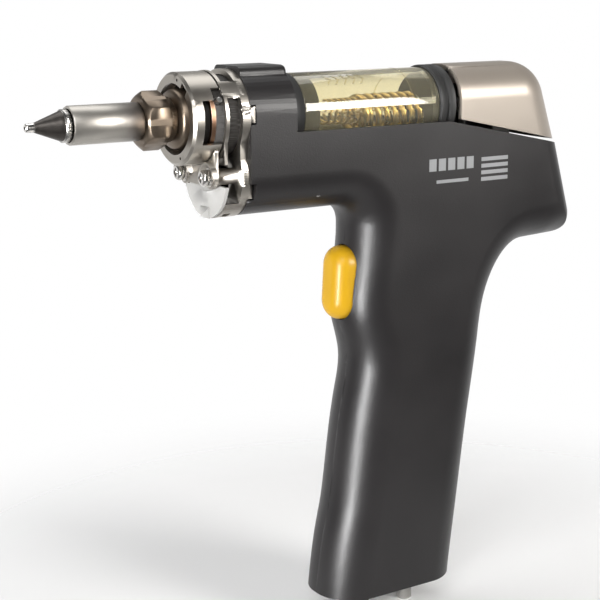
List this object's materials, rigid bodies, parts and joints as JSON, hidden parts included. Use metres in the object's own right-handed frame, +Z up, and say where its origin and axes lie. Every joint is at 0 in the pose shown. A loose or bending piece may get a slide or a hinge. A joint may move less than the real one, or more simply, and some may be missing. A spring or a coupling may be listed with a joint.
{
  "type": "hot desoldering handpiece",
  "caption": "Gun-shaped hot desoldering tool: heated hollow nozzle, glass solder trap with spring filter, lifting rear release lever, pistol grip with push trigger.",
  "frame": {"origin": "centre of the nozzle's suction hole at the mouth of the tip", "axes": "+X from the nozzle back along the barrel, +Z up on the lever side, Y across, the halves part at Y = 0"},
  "size_m": [0.1825, 0.0266, 0.1761],
  "materials": {
    "housing": "fine matt moulded texture",
    "trigger": "smooth glossy yellow",
    "lever": "warm metallic lacquer",
    "glass": "clear amber tinted",
    "tip": "plated iron, tinned mouth",
    "sleeve": "polished stainless",
    "nut": "heat toned bronze brown",
    "satin_steel": "satin nickel",
    "copper": "bare copper tone",
    "screw_steel": "bright zinc",
    "tube_steel": "drawn stainless tube",
    "spring_steel": "bright spring wire",
    "ceramic": "unglazed heater ceramic",
    "insulator": "heat resistant moulding",
    "rubber": "black heat resistant rubber",
    "paper": "fibrous filter disc",
    "inner_plastic": "glass filled moulding",
    "board": "solder masked board",
    "wire": "insulated wire",
    "hose": "silicone tube",
    "nickel": "turned metal"
  },
  "bodies": {
    "body": {"housing_left": "housing", "housing_right": "housing", "glass_tube": "glass", "nozzle": "tip", "sleeve": "sleeve", "sleeve_nut": "nut", "heater_flange": "nut", "front_frame": "satin_steel", "cover_plate": "satin_steel", "clamp_bracket": "satin_steel", "wave_ring": "copper", "clamp_screws": "screw_steel", "spring_washers": "screw_steel", "flat_washers": "screw_steel", "housing_screws": "screw_steel", "solder_tube": "tube_steel", "bayonet_pins": "tube_steel", "spring_filter": "spring_steel", "carriage_spring": "spring_steel", "trigger_spring": "spring_steel", "heater_core": "ceramic", "insulator": "insulator", "front_packing": "rubber", "rear_packing": "rubber", "stem_seal": "rubber", "cord_gland": "rubber", "paper_filter": "paper", "guide_bracket": "inner_plastic", "vacuum_elbow": "inner_plastic", "microswitch": "inner_plastic", "circuit_board": "board", "heater_leads": "wire", "supply_wires": "wire", "vacuum_hose": "hose", "vacuum_nipple": "nickel"},
    "can": {"locking_can": "satin_steel"},
    "trigger": {"trigger": "trigger"},
    "plunger": {"switch_plunger": "trigger"},
    "carriage": {"carriage": "inner_plastic", "holder_ring": "rubber", "lever_pin": "tube_steel"},
    "lever": {"release_lever": "lever"}
  },
  "joints": [
    {"name": "can_twist", "type": "hinge", "parent": "body", "child": "can", "pos_m": [0.0477, 0, 0], "axis": [-1, 0, 0], "range_deg": [0, 22]},
    {"name": "trigger_push", "type": "slide", "parent": "body", "child": "trigger", "axis": [1, 0, 0], "range_m": [0, 0.002], "stiffness_N_per_m": 400, "springref_m": -0.001},
    {"name": "plunger_push", "type": "slide", "parent": "body", "child": "plunger", "axis": [1, 0, 0], "range_m": [0, 0.002], "deforming": ["trigger_spring"]},
    {"name": "carriage_slide", "type": "slide", "parent": "body", "child": "carriage", "axis": [1, 0, 0], "range_m": [0, 0.0036], "deforming": ["carriage_spring"]},
    {"name": "lever_lift", "type": "hinge", "parent": "carriage", "child": "lever", "pos_m": [0.1376, 0, 0.0082], "axis": [0, -1, 0], "range_deg": [0, 30]}
  ],
  "couplings": [
    {"joint": "plunger_push", "follows": "trigger_push", "ratio": 1},
    {"joint": "carriage_slide", "follows": "lever_lift", "m_per_rad": 0.0066845}
  ]
}
